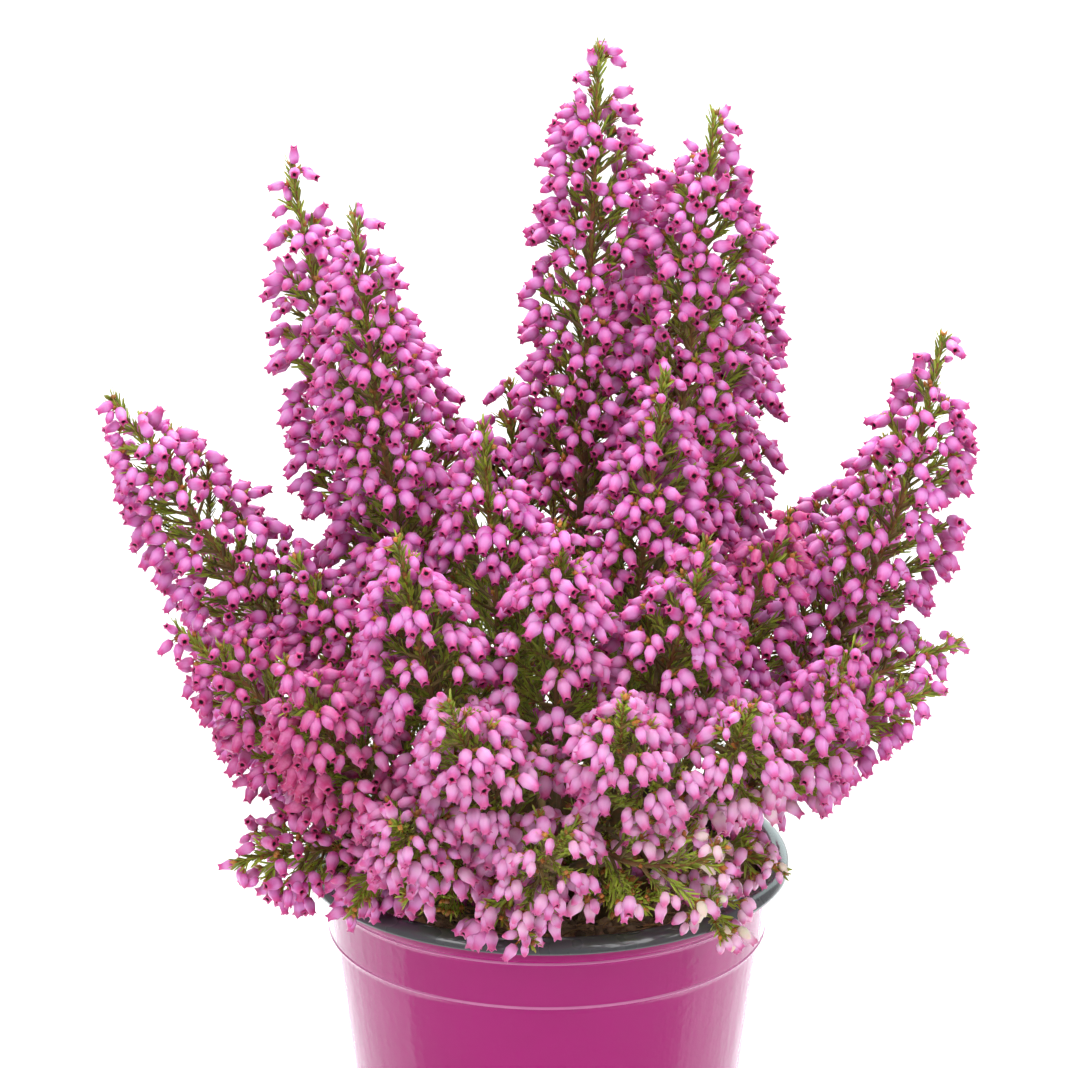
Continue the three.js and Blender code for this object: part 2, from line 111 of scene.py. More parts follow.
# Name, tip, how far out and how high the bend lies, half width of the spray, bare share of the stem
flowerStems = [
    ("far_left", (-0.103, -0.005, 0.223), 0.62, 0.160, 0.020, 0.3),
    ("left_tall", (-0.061, 0.012, 0.276), 0.74, 0.175, 0.016, 0.4),
    ("left_front", (-0.045, -0.018, 0.271), 0.85, 0.174, 0.018, 0.42),
    ("centre_tall", (0.012, 0.006, 0.305), 0.7, 0.200, 0.017, 0.35),
    ("right_tall", (0.039, 0.000, 0.291), 0.85, 0.190, 0.020, 0.35),
    ("far_right", (0.094, 0.000, 0.237), 0.93, 0.150, 0.019, 0.38),
    ("centre_small", (-0.015, -0.032, 0.224), 0.8, 0.160, 0.020, 0.42),
    ("centre_front", (0.027, -0.030, 0.236), 0.8, 0.165, 0.019, 0.42),
    ("centre_back", (-0.009, 0.017, 0.220), 0.8, 0.165, 0.020, 0.45),
    ("right_ridge", (0.057, -0.028, 0.202), 0.7, 0.150, 0.020, 0.42),
    ("left_shoulder", (-0.059, -0.030, 0.191), 0.7, 0.152, 0.020, 0.4),
    ("front_left_high", (-0.034, -0.066, 0.208), 0.8, 0.150, 0.021, 0.42),
    ("front_high", (0.003, -0.062, 0.210), 0.8, 0.155, 0.021, 0.42),
    ("front_right_high", (0.036, -0.060, 0.205), 0.8, 0.150, 0.021, 0.42),
    ("left_front_mid", (-0.060, -0.064, 0.178), 0.75, 0.135, 0.021, 0.4),
    ("front_left_mid", (-0.022, -0.089, 0.177), 0.75, 0.135, 0.021, 0.4),
    ("front_right_mid", (0.017, -0.090, 0.178), 0.75, 0.135, 0.021, 0.4),
    ("right_front_mid", (0.046, -0.080, 0.173), 0.75, 0.132, 0.021, 0.4),
    ("right_front_side", (0.071, -0.054, 0.178), 0.75, 0.138, 0.018, 0.48),
    ("left_mid", (-0.087, -0.030, 0.174), 0.72, 0.139, 0.019, 0.44),
    ("left_low", (-0.076, -0.024, 0.151), 0.65, 0.136, 0.014, 0.42),
    ("left_foot", (-0.073, -0.045, 0.121), 0.75, 0.130, 0.018, 0.4),
    ("left_front_foot", (-0.045, -0.062, 0.116), 0.7, 0.132, 0.014, 0.45),
    ("front_left_low", (-0.034, -0.084, 0.146), 0.65, 0.134, 0.018, 0.42),
    ("front_low", (0.004, -0.092, 0.147), 0.65, 0.134, 0.018, 0.42),
    ("front_foot", (-0.004, -0.076, 0.114), 0.7, 0.138, 0.013, 0.5),
    ("front_right_low", (0.040, -0.080, 0.139), 0.65, 0.130, 0.018, 0.42),
    ("right_front_foot", (0.040, -0.069, 0.113), 0.7, 0.132, 0.013, 0.48),
    ("right_foot", (0.055, -0.048, 0.120), 0.65, 0.128, 0.015, 0.45),
    ("right_mid", (0.098, -0.012, 0.164), 0.64, 0.157, 0.016, 0.42),
    ("right_low", (0.092, -0.028, 0.158), 0.7, 0.154, 0.015, 0.42),
    ("back_left_tall", (-0.039, 0.044, 0.236), 0.8, 0.168, 0.018, 0.38),
    ("back_tall", (0.030, 0.040, 0.266), 0.8, 0.180, 0.020, 0.38),
    ("back_right_tall", (0.050, 0.040, 0.254), 0.78, 0.176, 0.018, 0.38),
    ("back_left", (-0.086, 0.046, 0.170), 0.7, 0.136, 0.018, 0.4),
    ("back_right", (0.086, 0.040, 0.200), 0.75, 0.142, 0.021, 0.4),
    ("back_left_mid", (-0.042, 0.080, 0.190), 0.75, 0.140, 0.021, 0.4),
    ("back_mid", (0.002, 0.090, 0.196), 0.75, 0.142, 0.021, 0.4),
    ("back_right_mid", (0.046, 0.082, 0.186), 0.75, 0.138, 0.021, 0.4),
    ("left_back_low", (-0.084, 0.030, 0.148), 0.65, 0.128, 0.019, 0.42),
    ("back_left_low", (-0.034, 0.080, 0.140), 0.65, 0.128, 0.019, 0.42),
    ("back_foot", (0.000, 0.074, 0.114), 0.7, 0.134, 0.014, 0.45),
    ("back_right_low", (0.034, 0.080, 0.140), 0.65, 0.128, 0.019, 0.42),
    ("right_back_low", (0.080, 0.030, 0.150), 0.65, 0.136, 0.018, 0.42),
]
leafyStems = [
    ("front_left", (-0.033, -0.056, 0.117), 0.7, 0.124, 0.005, 0.4),
    ("front_right", (0.026, -0.058, 0.118), 0.7, 0.124, 0.005, 0.4),
]

edgeHeight = pot["height"] - pot["edgeDrop"]
collarHeight = pot["height"] - pot["collarDrop"]
stepHeight = pot["height"] - pot["stepDrop"]
notchHeight = stepHeight - pot["stepDepth"]
soilEdge = pot["height"] - compost["edgeDrop"]
soilTop = soilEdge + compost["rise"]


# Vectors

def unit(vectors):
    return vectors / np.maximum(np.linalg.norm(vectors, axis=-1, keepdims=True), 1e-12)


def smoothStep(low, high, values):
    t = np.clip((values - low) / (high - low), 0, 1)
    return t * t * (3 - 2 * t)


def between(low, high, count):
    return draw.uniform(low, high, count)


# Two directions that stand across others
def crossing(directions, reference):
    first = unit(np.cross(directions, reference))
    return first, np.cross(directions, first)


# Directions round an axis, from two that stand across it
def circling(first, second, turns):
    return first * np.cos(turns)[:, None] + second * np.sin(turns)[:, None]


# A curve that leaves first towards bend and ends at last
def bowed(first, bend, last, t):
    return first * (1 - t) ** 2 + bend * 2 * t * (1 - t) + last * t * t


def anyTurns(count):
    return between(0, 6.28, count)


# The length of a run of points up to each of them
def lengthsAlong(run):
    return np.concatenate([[0], np.cumsum(np.linalg.norm(np.diff(run, axis=0), axis=1))])


def pointsAt(distances, lengths, run):
    return np.stack([np.interp(distances, lengths, run[:, k]) for k in range(3)], axis=1)


def distancesTo(points, run):
    return np.linalg.norm(points[:, None] - run[None], axis=2)


# Stem paths

def sprayWidths(stem, path, shares):
    fromTip = (1 - shares) * np.linalg.norm(path[-1] - path[1])
    slender = smoothStep(*stemRun["openingHeights"], stem["tip"][2])
    short, long = stemRun["openings"]
    opening = short + (long - short) * slender
    opened = 1 - np.exp(-fromTip / opening)
    closed = smoothStep(stem["bare"] - stemRun["closing"], stem["bare"] + stemRun["closing"], shares)
    return (stemRun["tipWidth"] + (stem["spread"] - stemRun["tipWidth"]) * opened) * closed


def woodyRadii(stem, shares):
    foot = stemRun["footRadius"] + stemRun["perHeight"] * stem["tip"][2]
    return np.maximum(stemRun["least"], foot * (1 - stemRun["taper"] * shares))


def archPath(stem):
    tip = np.array(stem["tip"])
    reach = math.hypot(tip[0], tip[1])
    inward = (stemRun["footNear"] + stemRun["footSpread"] * reach) / reach
    foot = np.array([*tip[:2] * inward, soilEdge - stemRun["depth"]])
    collar = np.array([*foot[:2], soilTop + stemRun["collar"]])
    bend = np.array([*tip[:2] * stem["out"], stem["rise"]])
    t = np.linspace(0, 1, stemRun["steps"] - 1)[:, None]
    return np.vstack([foot, bowed(collar, bend, tip, t)])


def spreadPaths(stems):
    steps = stemRun["steps"]
    shares = np.arange(steps) / (steps - 1)
    paths = np.array([archPath(stem) for stem in stems])
    cores = [
        np.maximum(woodyRadii(stem, shares), sprayWidths(stem, path, shares) * stemRun["coreShare"])
        for stem, path in zip(stems, paths)
    ]
    rooms = stemRun["room"] + stemRun["roomCore"] * np.array(cores)[:, 1:].ravel()
    owners = np.repeat(np.arange(len(stems)), steps - 1)
    apart = owners[:, None] < owners[None, :]
    needed = rooms[:, None] + rooms[None, :]
    for _ in range(stemRun["passes"]):
        points = paths[:, 1:].reshape(-1, 3)
        squares = (points ** 2).sum(1)
        distances = squares[:, None] + squares[None, :] - 2 * points @ points.T
        first, second = np.nonzero(apart & (distances < needed ** 2))
        away = points[first] - points[second]
        distance = np.linalg.norm(away, axis=1)
        away *= (stemRun["push"] * (needed[first, second] - distance) / distance)[:, None]
        pushes = np.zeros_like(points)
        np.add.at(pushes, first, away)
        np.add.at(pushes, second, -away)
        pushes = pushes.reshape(len(stems), steps - 1, 3)
        pushes[:, 0, 2] = 0
        paths[:, 1:-1] += pushes[:, :-1]
        middle = (paths[:, 1:-2] + paths[:, 3:]) / 2
        paths[:, 2:-1] += (middle - paths[:, 2:-1]) * stemRun["smoothing"]
        radii = np.hypot(paths[:, 1, 0], paths[:, 1, 1])
        paths[:, 1, :2] *= np.minimum(1, stemRun["footLimit"] / radii)[:, None]
        paths[:, 0, :2] = paths[:, 1, :2]
    return paths


# Places along a stem: point, the way it runs there and two directions across it
def placesAlong(stem, distances):
    path = stem["path"]
    lengths = stem["lengths"]
    points = pointsAt(distances, lengths, path)
    along = unit(pointsAt(distances + 0.004, lengths, path) - pointsAt(distances - 0.004, lengths, path))
    reference = unit(np.array([-stem["tip"][1], stem["tip"][0], 0.0]))
    side = unit(reference - along * (along @ reference)[:, None])
    return points, along, side, np.cross(along, side)


# Master shapes, one metre long, that are stamped many times

def spunShape(profile, sides):
    shape = bmesh.new()
    last = None
    for radius, height in profile:
        vertex = shape.verts.new((radius, 0, height))
        if last:
            shape.edges.new((last, vertex))
        last = vertex
    turned = shape.verts[:] + shape.edges[:]
    bmesh.ops.spin(shape, geom=turned, cent=(0, 0, 0), axis=(0, 0, 1), angle=fullTurn, steps=sides,
                   use_merge=True)
    bmesh.ops.remove_doubles(shape, verts=shape.verts, dist=1e-6)
    bmesh.ops.recalc_face_normals(shape, faces=shape.faces)
    return shape


def readShape(shape):
    bmesh.ops.triangulate(shape, faces=shape.faces)
    shape.verts.index_update()
    points = np.array([vertex.co[:] for vertex in shape.verts])
    corners = np.array([[vertex.index for vertex in face.verts] for face in shape.faces])
    shape.free()
    return {"points": points, "corners": corners, "along": points[:, 2].copy()}


# Whether a point stands on one of four lobes or between two
def onLobe(vertex):
    return round(math.atan2(vertex.co.y, vertex.co.x) / (math.pi / 4)) % 2 == 0


# An urn-shaped bell: slim belly, narrow neck, four small lobes round a throat painted dark as shade
def openFloret(belly, neck, flare):
    throat = 0.08
    outside = [(0, 0), (0.72 * belly, 0.1), (belly, 0.42), (neck, 0.84), (flare, 0.94)]
    shape = spunShape([*outside, (throat, 0.88), (0, 0.7)], 8)
    for vertex in shape.verts:
        if vertex.co.z > 0.9:
            widening, vertex.co.z = (1.08, 1.0) if onLobe(vertex) else (0.84, 0.9)
            vertex.co.x *= widening
            vertex.co.y *= widening
    made = readShape(shape)
    radii = np.hypot(made["points"][:, 0], made["points"][:, 1])
    # Points deep in the mouth are marked 1.3, where the petal finish paints shade
    inside = (made["points"][:, 2] > 0.65) & (radii < throat * 1.1)
    made["along"][inside] = 1.3
    return made


def closedBud():
    return readShape(spunShape([(0, 0), (0.2, 0.1), (0.31, 0.4), (0.26, 0.68), (0.1, 0.93), (0, 1)], 7))


# Four pointed sepals that hold the foot of a bell
def calyxShape():
    shape = spunShape([(0, 0), (0.5, 0.5)], 8)
    for vertex in shape.verts:
        radius = math.hypot(vertex.co.x, vertex.co.y)
        if radius > 0.3:
            if onLobe(vertex):
                vertex.co.z += 0.5
            else:
                vertex.co.x *= 0.7
                vertex.co.y *= 0.7
                vertex.co.z -= 0.12
    return readShape(shape)


# A folded blade with a blunt tip
def needleShape():
    taper, fold = 0.3, 0.5
    shape = bmesh.new()
    bmesh.ops.create_grid(shape, x_segments=2, y_segments=1, size=0.5)
    for vertex in shape.verts:
        side = abs(vertex.co.x)
        high = vertex.co.y + 0.5
        vertex.co = Vector((vertex.co.x * (1 - taper * high), side * fold, high * (1 - taper * side)))
    return readShape(shape)


# A tube whose rings are moved apart later; its ends stay open where they sink into something
def tubeShape(rings, sides, tipped=False):
    profile = [(1, ring) for ring in range(rings)] + [(0, rings - 1)] * tipped
    return readShape(spunShape(profile, sides))


def crumbShape(roughness):
    shape = bmesh.new()
    bmesh.ops.create_icosphere(shape, subdivisions=1, radius=0.5)
    for vertex in shape.verts:
        vertex.co *= 1 + roughness * noise.noise(vertex.co * 3 + Vector((roughness * 40, 0, 0)))
    return readShape(shape)


# Stamping

# Two directions across others, from upright, or from level where the leading ones are too steep
def framed(directions, leading, steepest):
    reference = np.where(np.abs(leading[..., 2:3]) < steepest, [0.0, 0.0, 1.0], [1.0, 0.0, 0.0])
    first = unit(np.cross(reference, directions))
    return first, np.cross(directions, first)


def framesTowards(directions, turns):
    first, second = framed(directions, directions, 0.9)
    return np.stack([circling(first, second, turns), circling(second, -first, turns), directions], axis=2)


def linked(name, data, finishes=()):
    piece = bpy.data.objects.new(name, data)
    bpy.context.scene.collection.objects.link(piece)
    for finish in finishes:
        data.materials.append(finish)
    return piece


class Bunch:
    # Gathers stamped copies of shapes and makes one mesh of them.
    # A point's marks are a draw for its copy, the place along it and one or two strengths.
    def __init__(self):
        self.points, self.corners, self.marks, self.finishes = [], [], [], []
        self.count = 0

    def take(self, shape, points, marks, finish):
        copies = len(points)
        if copies == 0:
            return
        size = len(shape["points"])
        starts = self.count + size * np.arange(copies)
        self.points.append(points.reshape(-1, 3))
        self.corners.append((shape["corners"][None] + starts[:, None, None]).reshape(-1, 3))
        full = np.zeros((copies, size, 4))
        full[:, :, 0] = marks[0][:, None]
        full[:, :, 1] = shape["along"][None]
        for place, mark in enumerate(marks[1:], 2):
            full[:, :, place] = mark[:, None]
        self.marks.append(full.reshape(-1, 4))
        self.finishes.append(np.full(copies * len(shape["corners"]), finish))
        self.count += copies * size

    # Copies at origins that point along directions, each with its turn, width and length
    def stamp(self, shape, origins, directions, turns, widths, lengths, marks, finish=0):
        scaled = shape["points"][None] * np.stack([widths, widths, lengths], axis=1)[:, None, :]
        frames = framesTowards(directions, turns)
        self.take(shape, np.einsum("nij,nvj->nvi", frames, scaled) + origins[:, None], marks, finish)

    # Copies of a tube whose rings stand on runs of points
    def bend(self, shape, runs, radii, marks, finish=0):
        ahead = np.concatenate([runs[:, 1:], runs[:, -1:]], axis=1)
        behind = np.concatenate([runs[:, :1], runs[:, :-1]], axis=1)
        along = unit(ahead - behind)
        side, across = framed(along, along[:, :1], 0.8)
        ring = np.rint(shape["points"][:, 2]).astype(int)
        x, y = (shape["points"][:, k][None, :, None] * radii[:, ring][..., None] for k in (0, 1))
        self.take(shape, runs[:, ring] + side[:, ring] * x + across[:, ring] * y, marks, finish)

    def make(self, name, finishes):
        mesh = bpy.data.meshes.new(name)
        points = np.concatenate(self.points)
        corners = np.concatenate(self.corners)
        mesh.vertices.add(len(points))
        mesh.vertices.foreach_set("co", points.astype(np.float32).ravel())
        mesh.loops.add(corners.size)
        mesh.loops.foreach_set("vertex_index", corners.astype(np.int32).ravel())
        mesh.polygons.add(len(corners))
        mesh.polygons.foreach_set("loop_start", np.arange(0, corners.size, 3, dtype=np.int32))
        mesh.polygons.foreach_set("material_index", np.concatenate(self.finishes).astype(np.int32))
        mesh.update(calc_edges=True)
        mesh.shade_smooth()
        mark = mesh.attributes.new("mark", "FLOAT_COLOR", "POINT")
        mark.data.foreach_set("color", np.concatenate(self.marks).astype(np.float32).ravel())
        return linked(name, mesh, finishes)


def dress(piece, slot, *nodes):
    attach(piece, "root")
    if nodes:
        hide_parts(*nodes)


# Finishes

# Tones laid over a colour, each with its strength
def layered(colour, *layers):
    for strength, tone in layers:
        colour = strength.blend(colour, tone)
    return colour


class Wire:
    # A socket of a node tree; maths on it adds Math nodes
    def __init__(self, tree, socket=None):
        self.tree = tree
        self.socket = socket

    def node(self, kind, settings=None, inputs=None, output=0):
        made = self.tree.nodes.new(kind)
        for key, value in (settings or {}).items():
            if key == "stops":
                elements = made.color_ramp.elements
                elements.remove(elements[1])
                elements[0].position = value[0][0]
                elements[0].color = (*value[0][1], 1)
                for place, colour in value[1:]:
                    elements.new(place).color = (*colour, 1)
            else:
                setattr(made, key, value)
        for key, value in (inputs or {}).items():
            self.join(value, made.inputs[key])
        return Wire(self.tree, made.outputs[output])

    def join(self, value, socket):
        if isinstance(value, Wire):
            self.tree.links.new(value.socket, socket)
        else:
            socket.default_value = value

    def maths(self, operation, *values):
        return self.node("ShaderNodeMath", {"operation": operation}, dict(enumerate(values)))

    def __add__(self, other):
        return self.maths("ADD", self, other)

    def __sub__(self, other):
        return self.maths("SUBTRACT", self, other)

    def __rsub__(self, other):
        return self.maths("SUBTRACT", other, self)

    def __mul__(self, other):
        return self.maths("MULTIPLY", self, other)

    __radd__ = __add__
    __rmul__ = __mul__

    def steps(self, low, high):
        return self.node("ShaderNodeMapRange", {"interpolation_type": "SMOOTHSTEP"},
                         {"Value": self, "From Min": low, "From Max": high})

    def ramp(self, *stops):
        return self.node("ShaderNodeValToRGB", {"stops": stops}, {"Fac": self})

    def blend(self, first, second):
        socket = lambda value: value if isinstance(value, Wire) else (*value, 1)
        return self.node("ShaderNodeMix", {"data_type": "RGBA"},
                         {0: self, 6: socket(first), 7: socket(second)}, 2)


def newFinish(name, **constants):
    material = bpy.data.materials.new(name)
    material.use_nodes = True
    shader = material.node_tree.nodes["Principled BSDF"]
    for key, value in constants.items():
        shader.inputs[key.replace("_", " ")].default_value = value
    return material, Wire(material.node_tree)


def finished(material, **wires):
    shader = material.node_tree.nodes["Principled BSDF"]
    for key, wire in wires.items():
        wire.join(wire, shader.inputs[key.replace("_", " ")])
    return material


def attribute(start, name, output="Fac"):
    return start.node("ShaderNodeAttribute", {"attribute_name": name}, output=output)


# The four marks of a stamped piece
def markWires(start):
    mark = attribute(start, "mark", "Color")
    parts = mark.node("ShaderNodeSeparateColor", None, {"Color": mark})
    read = lambda name: Wire(start.tree, parts.socket.node.outputs[name])
    faint = Wire(start.tree, mark.socket.node.outputs["Alpha"])
    return read("Red"), read("Green"), read("Blue"), faint


def speckle(start, scale, detail=3.0, roughness=0.6, stretch=(1, 1, 1)):
    where = start.node("ShaderNodeTexCoord", output="Object")
    where = start.node("ShaderNodeVectorMath", {"operation": "MULTIPLY"}, {0: where, 1: stretch})
    return start.node("ShaderNodeTexNoise", None,
                      {"Vector": where, "Scale": scale, "Detail": detail, "Roughness": roughness})


def bump(start, height, strength, distance):
    return start.node("ShaderNodeBump", None, {"Height": height, "Strength": strength, "Distance": distance})


petalTones = {
    "shaded": (0.61, 0.066, 0.34),
    "lit": (0.78, 0.135, 0.60),
    # belly: a painted highlight tone
    "belly": (0.90, 0.44, 0.85),
    "lobe": (0.70, 0.060, 0.29),
    "crimson": (0.53, 0.022, 0.13),
    "pale": (0.92, 0.66, 0.74),
    "cream": (0.80, 0.76, 0.52),
    # ring and throat: painted shade inside the mouth
    "ring": (0.45, 0.018, 0.13),
    "throat": (0.014, 0.001, 0.005),
}


def petalFinish():
    tones = petalTones
    material, start = newFinish("petal", Subsurface_Weight=0.25, Subsurface_Scale=0.0015,
                                Subsurface_Radius=(1.0, 0.35, 0.6))
    own, along, crimson, pale = markWires(start)
    # Painted highlight: a pale band round the widest part of each bell, stronger on the painted-lit clusters
    belly = along.steps(0.12, 0.4) * (1 - along.steps(0.45, 0.85))
    veins = speckle(start, 900.0)
    colour = layered(
        # Each cluster's draw blends the petal pink between painted shade and painted light
        own.blend(tones["shaded"], tones["lit"]),
        (belly * (0.35 + own * 0.4), tones["belly"]),
        (along.steps(0.6, 0.9), tones["lobe"]),
        (crimson * 0.9, tones["crimson"]),
        (pale * (1 - along.steps(0.4, 0.9) * 0.85), tones["pale"]),
        (pale.steps(0.75, 1.0) * 0.8, tones["cream"]),
        (veins.steps(0.35, 0.7) * 0.18, tones["belly"]),
        # Painted shade: a darker ring and a near-black throat inside the mouth
        (along.steps(1.04, 1.16), tones["ring"]),
        (along.steps(1.18, 1.28), tones["throat"]),
    )
    return finished(material, Base_Color=colour, Roughness=0.38 + along.steps(1.04, 1.2) * 0.6,
                    Normal=bump(start, veins, 0.15, 0.0003))


leafTones = {
    "dark": (0.060, 0.090, 0.016),
    "olive": (0.23, 0.28, 0.042),
    "bright": (0.48, 0.64, 0.055),
    "tip": (0.58, 0.47, 0.13),
}


def leafFinish():
    tones = leafTones
    material, start = newFinish("leaf", Roughness=0.45, Subsurface_Weight=0.05, Subsurface_Scale=0.001)
    own, along, fresh = markWires(start)[:3]
    colour = layered(
        own.ramp((0.0, tones["dark"]), (0.45, tones["olive"]), (1.0, tones["bright"])),
        (fresh, tones["bright"]),
        (along.steps(0.6, 1.0) * 0.5, tones["tip"]),
    )
    return finished(material, Base_Color=colour)


barkTones = {"old": (0.060, 0.054, 0.030), "young": (0.30, 0.22, 0.075), "red": (0.42, 0.17, 0.065)}


def barkFinish():
    tones = barkTones
    material, start = newFinish("bark", Roughness=0.8)
    own, along, young = markWires(start)[:3]
    grain = speckle(start, 700.0, 4.0)
    colour = layered(
        young.blend(tones["old"], tones["young"]),
        (grain.steps(0.4, 0.75) * own * 0.6, tones["red"]),
        (along.steps(stemRun["steps"] * 0.4, stemRun["steps"] * 0.9) * 0.8, tones["red"]),
    )
    return finished(material, Base_Color=colour, Normal=bump(start, grain, 0.5, 0.0004))


bractTones = {"brown": (0.27, 0.070, 0.022), "orange": (0.72, 0.24, 0.050), "green": (0.24, 0.26, 0.04)}


def bractFinish():
    tones = bractTones
    material, start = newFinish("bract", Roughness=0.6)
    own, _, green = markWires(start)[:3]
    colour = layered(own.blend(tones["brown"], tones["orange"]), (green * 0.8, tones["green"]))
    return finished(material, Base_Color=colour)


peatTones = {"wet": (0.12, 0.080, 0.052), "dry": (0.58, 0.39, 0.23), "fibre": (1.0, 0.66, 0.30)}


def peatFinish():
    tones = peatTones
    material, start = newFinish("peat", Roughness=0.95)
    clumps = speckle(start, 260.0, 6.0, 0.7)
    grains = speckle(start, 1400.0, 5.0, 0.7)
    colour = layered(
        clumps.ramp((0.3, tones["wet"]), (0.62, tones["dry"])),
        (grains.steps(0.58, 0.72) * 0.5, tones["fibre"]),
    )
    return finished(material, Base_Color=colour, Normal=bump(start, clumps + grains * 0.5, 0.9, 0.0012))


def crumbFinish():
    tones = peatTones
    material, start = newFinish("crumb", Roughness=0.9)
    own, _, fibre = markWires(start)[:3]
    grains = speckle(start, 1600.0, 4.0)
    colour = layered(
        own.blend(tones["wet"], tones["dry"]),
        (fibre * (0.3 + own * 0.7), tones["fibre"]),
        (grains.steps(0.5, 0.8) * 0.4, tones["wet"]),
    )
    return finished(material, Base_Color=colour, Normal=bump(start, grains, 0.6, 0.0004))


potTones = {
    "magenta": (0.395, 0.008, 0.178),
    # deep: random mottling, and painted shade under the lip
    "deep": (0.25, 0.006, 0.10),
    # painted highlight along the beads
    "highlightPink": (0.80, 0.34, 0.60),
    "grey": (0.066, 0.070, 0.080),
    "dust": (0.11, 0.115, 0.125),
    "cut": (0.70, 0.62, 0.66),
}


# Glossy outer wall with a slight orange peel and a painted highlight along its beads
def wallFinish():
    tones = potTones
    material, start = newFinish("pot_outside", IOR=1.5, Specular_IOR_Level=0.3)
    stretched = attribute(start, "stretched")
    under = attribute(start, "under")
    cloud = speckle(start, 40.0, 3.0)
    peel = speckle(start, 520.0, 2.0, 0.5)
    drawn = speckle(start, 330.0, 2.0, 0.5, (1, 1, 0.05))
    dust = speckle(start, 2600.0, 2.0)
    colour = layered(
        # Painted shade: the underside of the lip flare is darkened
        (under * 0.8).blend(tones["magenta"], tones["deep"]),
        (cloud.steps(0.3, 0.8) * 0.15, tones["deep"]),
        # Painted highlight along the beads
        (stretched, tones["highlightPink"]),
    )
    roughness = 0.13 + cloud * 0.06 + dust.steps(0.6, 0.8) * 0.08 + under * 0.4
    return finished(material, Base_Color=colour, Roughness=roughness,
                    Normal=bump(start, peel + drawn * 1.5, 0.2, 0.0004))


def liningFinish():
    tones = potTones
    material, start = newFinish("pot_lining", IOR=1.5, Coat_Weight=0.9, Coat_Roughness=0.06, Coat_IOR=1.6)
    # Painted highlight: the pale cut tone follows the bead highlight mark
    cut = attribute(start, "stretched")
    cloud = speckle(start, 60.0, 3.0)
    dust = speckle(start, 2200.0, 3.0)
    colour = layered(tones["grey"], (dust.steps(0.62, 0.8) * 0.25, tones["dust"]), (cut, tones["cut"]))
    return finished(material, Base_Color=colour, Roughness=0.2 + cloud * 0.16)


# The pot: one thin shell, turned from its profile

def arcPoints(centre, radius, start, end, steps):
    turns = np.radians(np.linspace(start, end, steps))
    return [(centre[0] + radius * math.cos(turn), centre[1] + radius * math.sin(turn)) for turn in turns]


def wallRadius(height):
    topRadius = pot["stepRadius"] - pot["stepDepth"]
    return pot["footRadius"] + (topRadius - pot["footRadius"]) * (height / notchHeight)


def meshPiece(name, shape, finishes, smooth=True):
    mesh = bpy.data.meshes.new(name)
    shape.to_mesh(mesh)
    shape.free()
    piece = linked(name, mesh, finishes)
    if smooth:
        mesh.shade_smooth()
    return piece


def outerProfile():
    bead = pot["bead"]
    foot = pot["footRounding"]
    step = pot["stepRadius"]
    collar = pot["collarRadius"]
    return [
        (0, 0),
        *arcPoints((wallRadius(foot) - foot, foot), foot, -90, -6, 7),
        *[(wallRadius(z), z) for z in np.linspace(foot + 0.004, stepHeight - 0.0022, 8)],
        (wallRadius(notchHeight), notchHeight),
        (step - bead * 0.5, stepHeight - bead * 1.2),
        *arcPoints((step - bead * 0.4, stepHeight), bead, -70, 70, 5),
        (step, stepHeight + bead * 1.2),
        (step + 0.0001, stepHeight + 0.0012),
        (collar - 0.0004, collarHeight - 0.0014),
        (collar - bead * 0.6, collarHeight - bead * 1.2),
        *arcPoints((collar - bead * 0.3, collarHeight), bead, -70, 60, 5),
        (collar + bead * 0.3, collarHeight + bead * 1.1),
        (pot["lipRadius"] - 0.0014, edgeHeight - 0.0013),
        (pot["lipRadius"] - 0.0002, edgeHeight - 0.0004),
    ]


def innerProfile():
    wall = pot["wall"]
    foot = pot["footRounding"]
    lip = pot["lipRadius"]
    top = pot["lipTopRadius"]
    roll = arcPoints((top, pot["height"] - pot["roll"]), pot["roll"], 25, 178, 16)
    return [
        (lip, edgeHeight - 0.0001),
        (lip - 0.0001, edgeHeight + 0.0003),
        *[(x if x < top else top + (x - top) * 1.08, z) for x, z in roll],
        (pot["mouthRadius"], pot["height"] - pot["throat"]),
        (pot["collarRadius"] - wall, collarHeight - wall),
        (pot["stepRadius"] - wall, stepHeight),
        (wallRadius(notchHeight) - wall, notchHeight),
        *[(wallRadius(z) - wall, z) for z in np.linspace(stepHeight - 0.003, foot + 0.002, 6)],
        *arcPoints((wallRadius(foot) - foot, foot + 0.0012), foot - wall, 0, -90, 6)[1:],
        (0, pot["floor"]),
    ]


def makePot(outside, lining):
    shape = spunShape(outerProfile() + innerProfile(), pot["sides"])
    stretched = shape.verts.layers.float.new("stretched")
    under = shape.verts.layers.float.new("under")
    for face in shape.faces:
        middle = face.calc_center_median()
        isOuter = face.normal.dot(Vector((middle.x, middle.y, 0))) > 0 and middle.z < edgeHeight
        face.material_index = 0 if isOuter or middle.z < 0.0003 else 1
    beads = ((stepHeight, pot["stepRadius"] - 0.0004), (collarHeight, pot["collarRadius"] - 0.0004))
    for vertex in shape.verts:
        radius = math.hypot(vertex.co.x, vertex.co.y)
        onBead = any(abs(vertex.co.z - z) < pot["bead"] and radius > inner for z, inner in beads)
        # Painted highlight mark along the two beads
        vertex[stretched] = 0.55 * onBead
        # Painted shade mark on the underside of the lip flare, above the collar bead
        vertex[under] = float(vertex.co.z > collarHeight + 0.0005)
    shell = meshPiece("pot_shell", shape, [outside, lining])
    cutDrains(shell)
    return shell


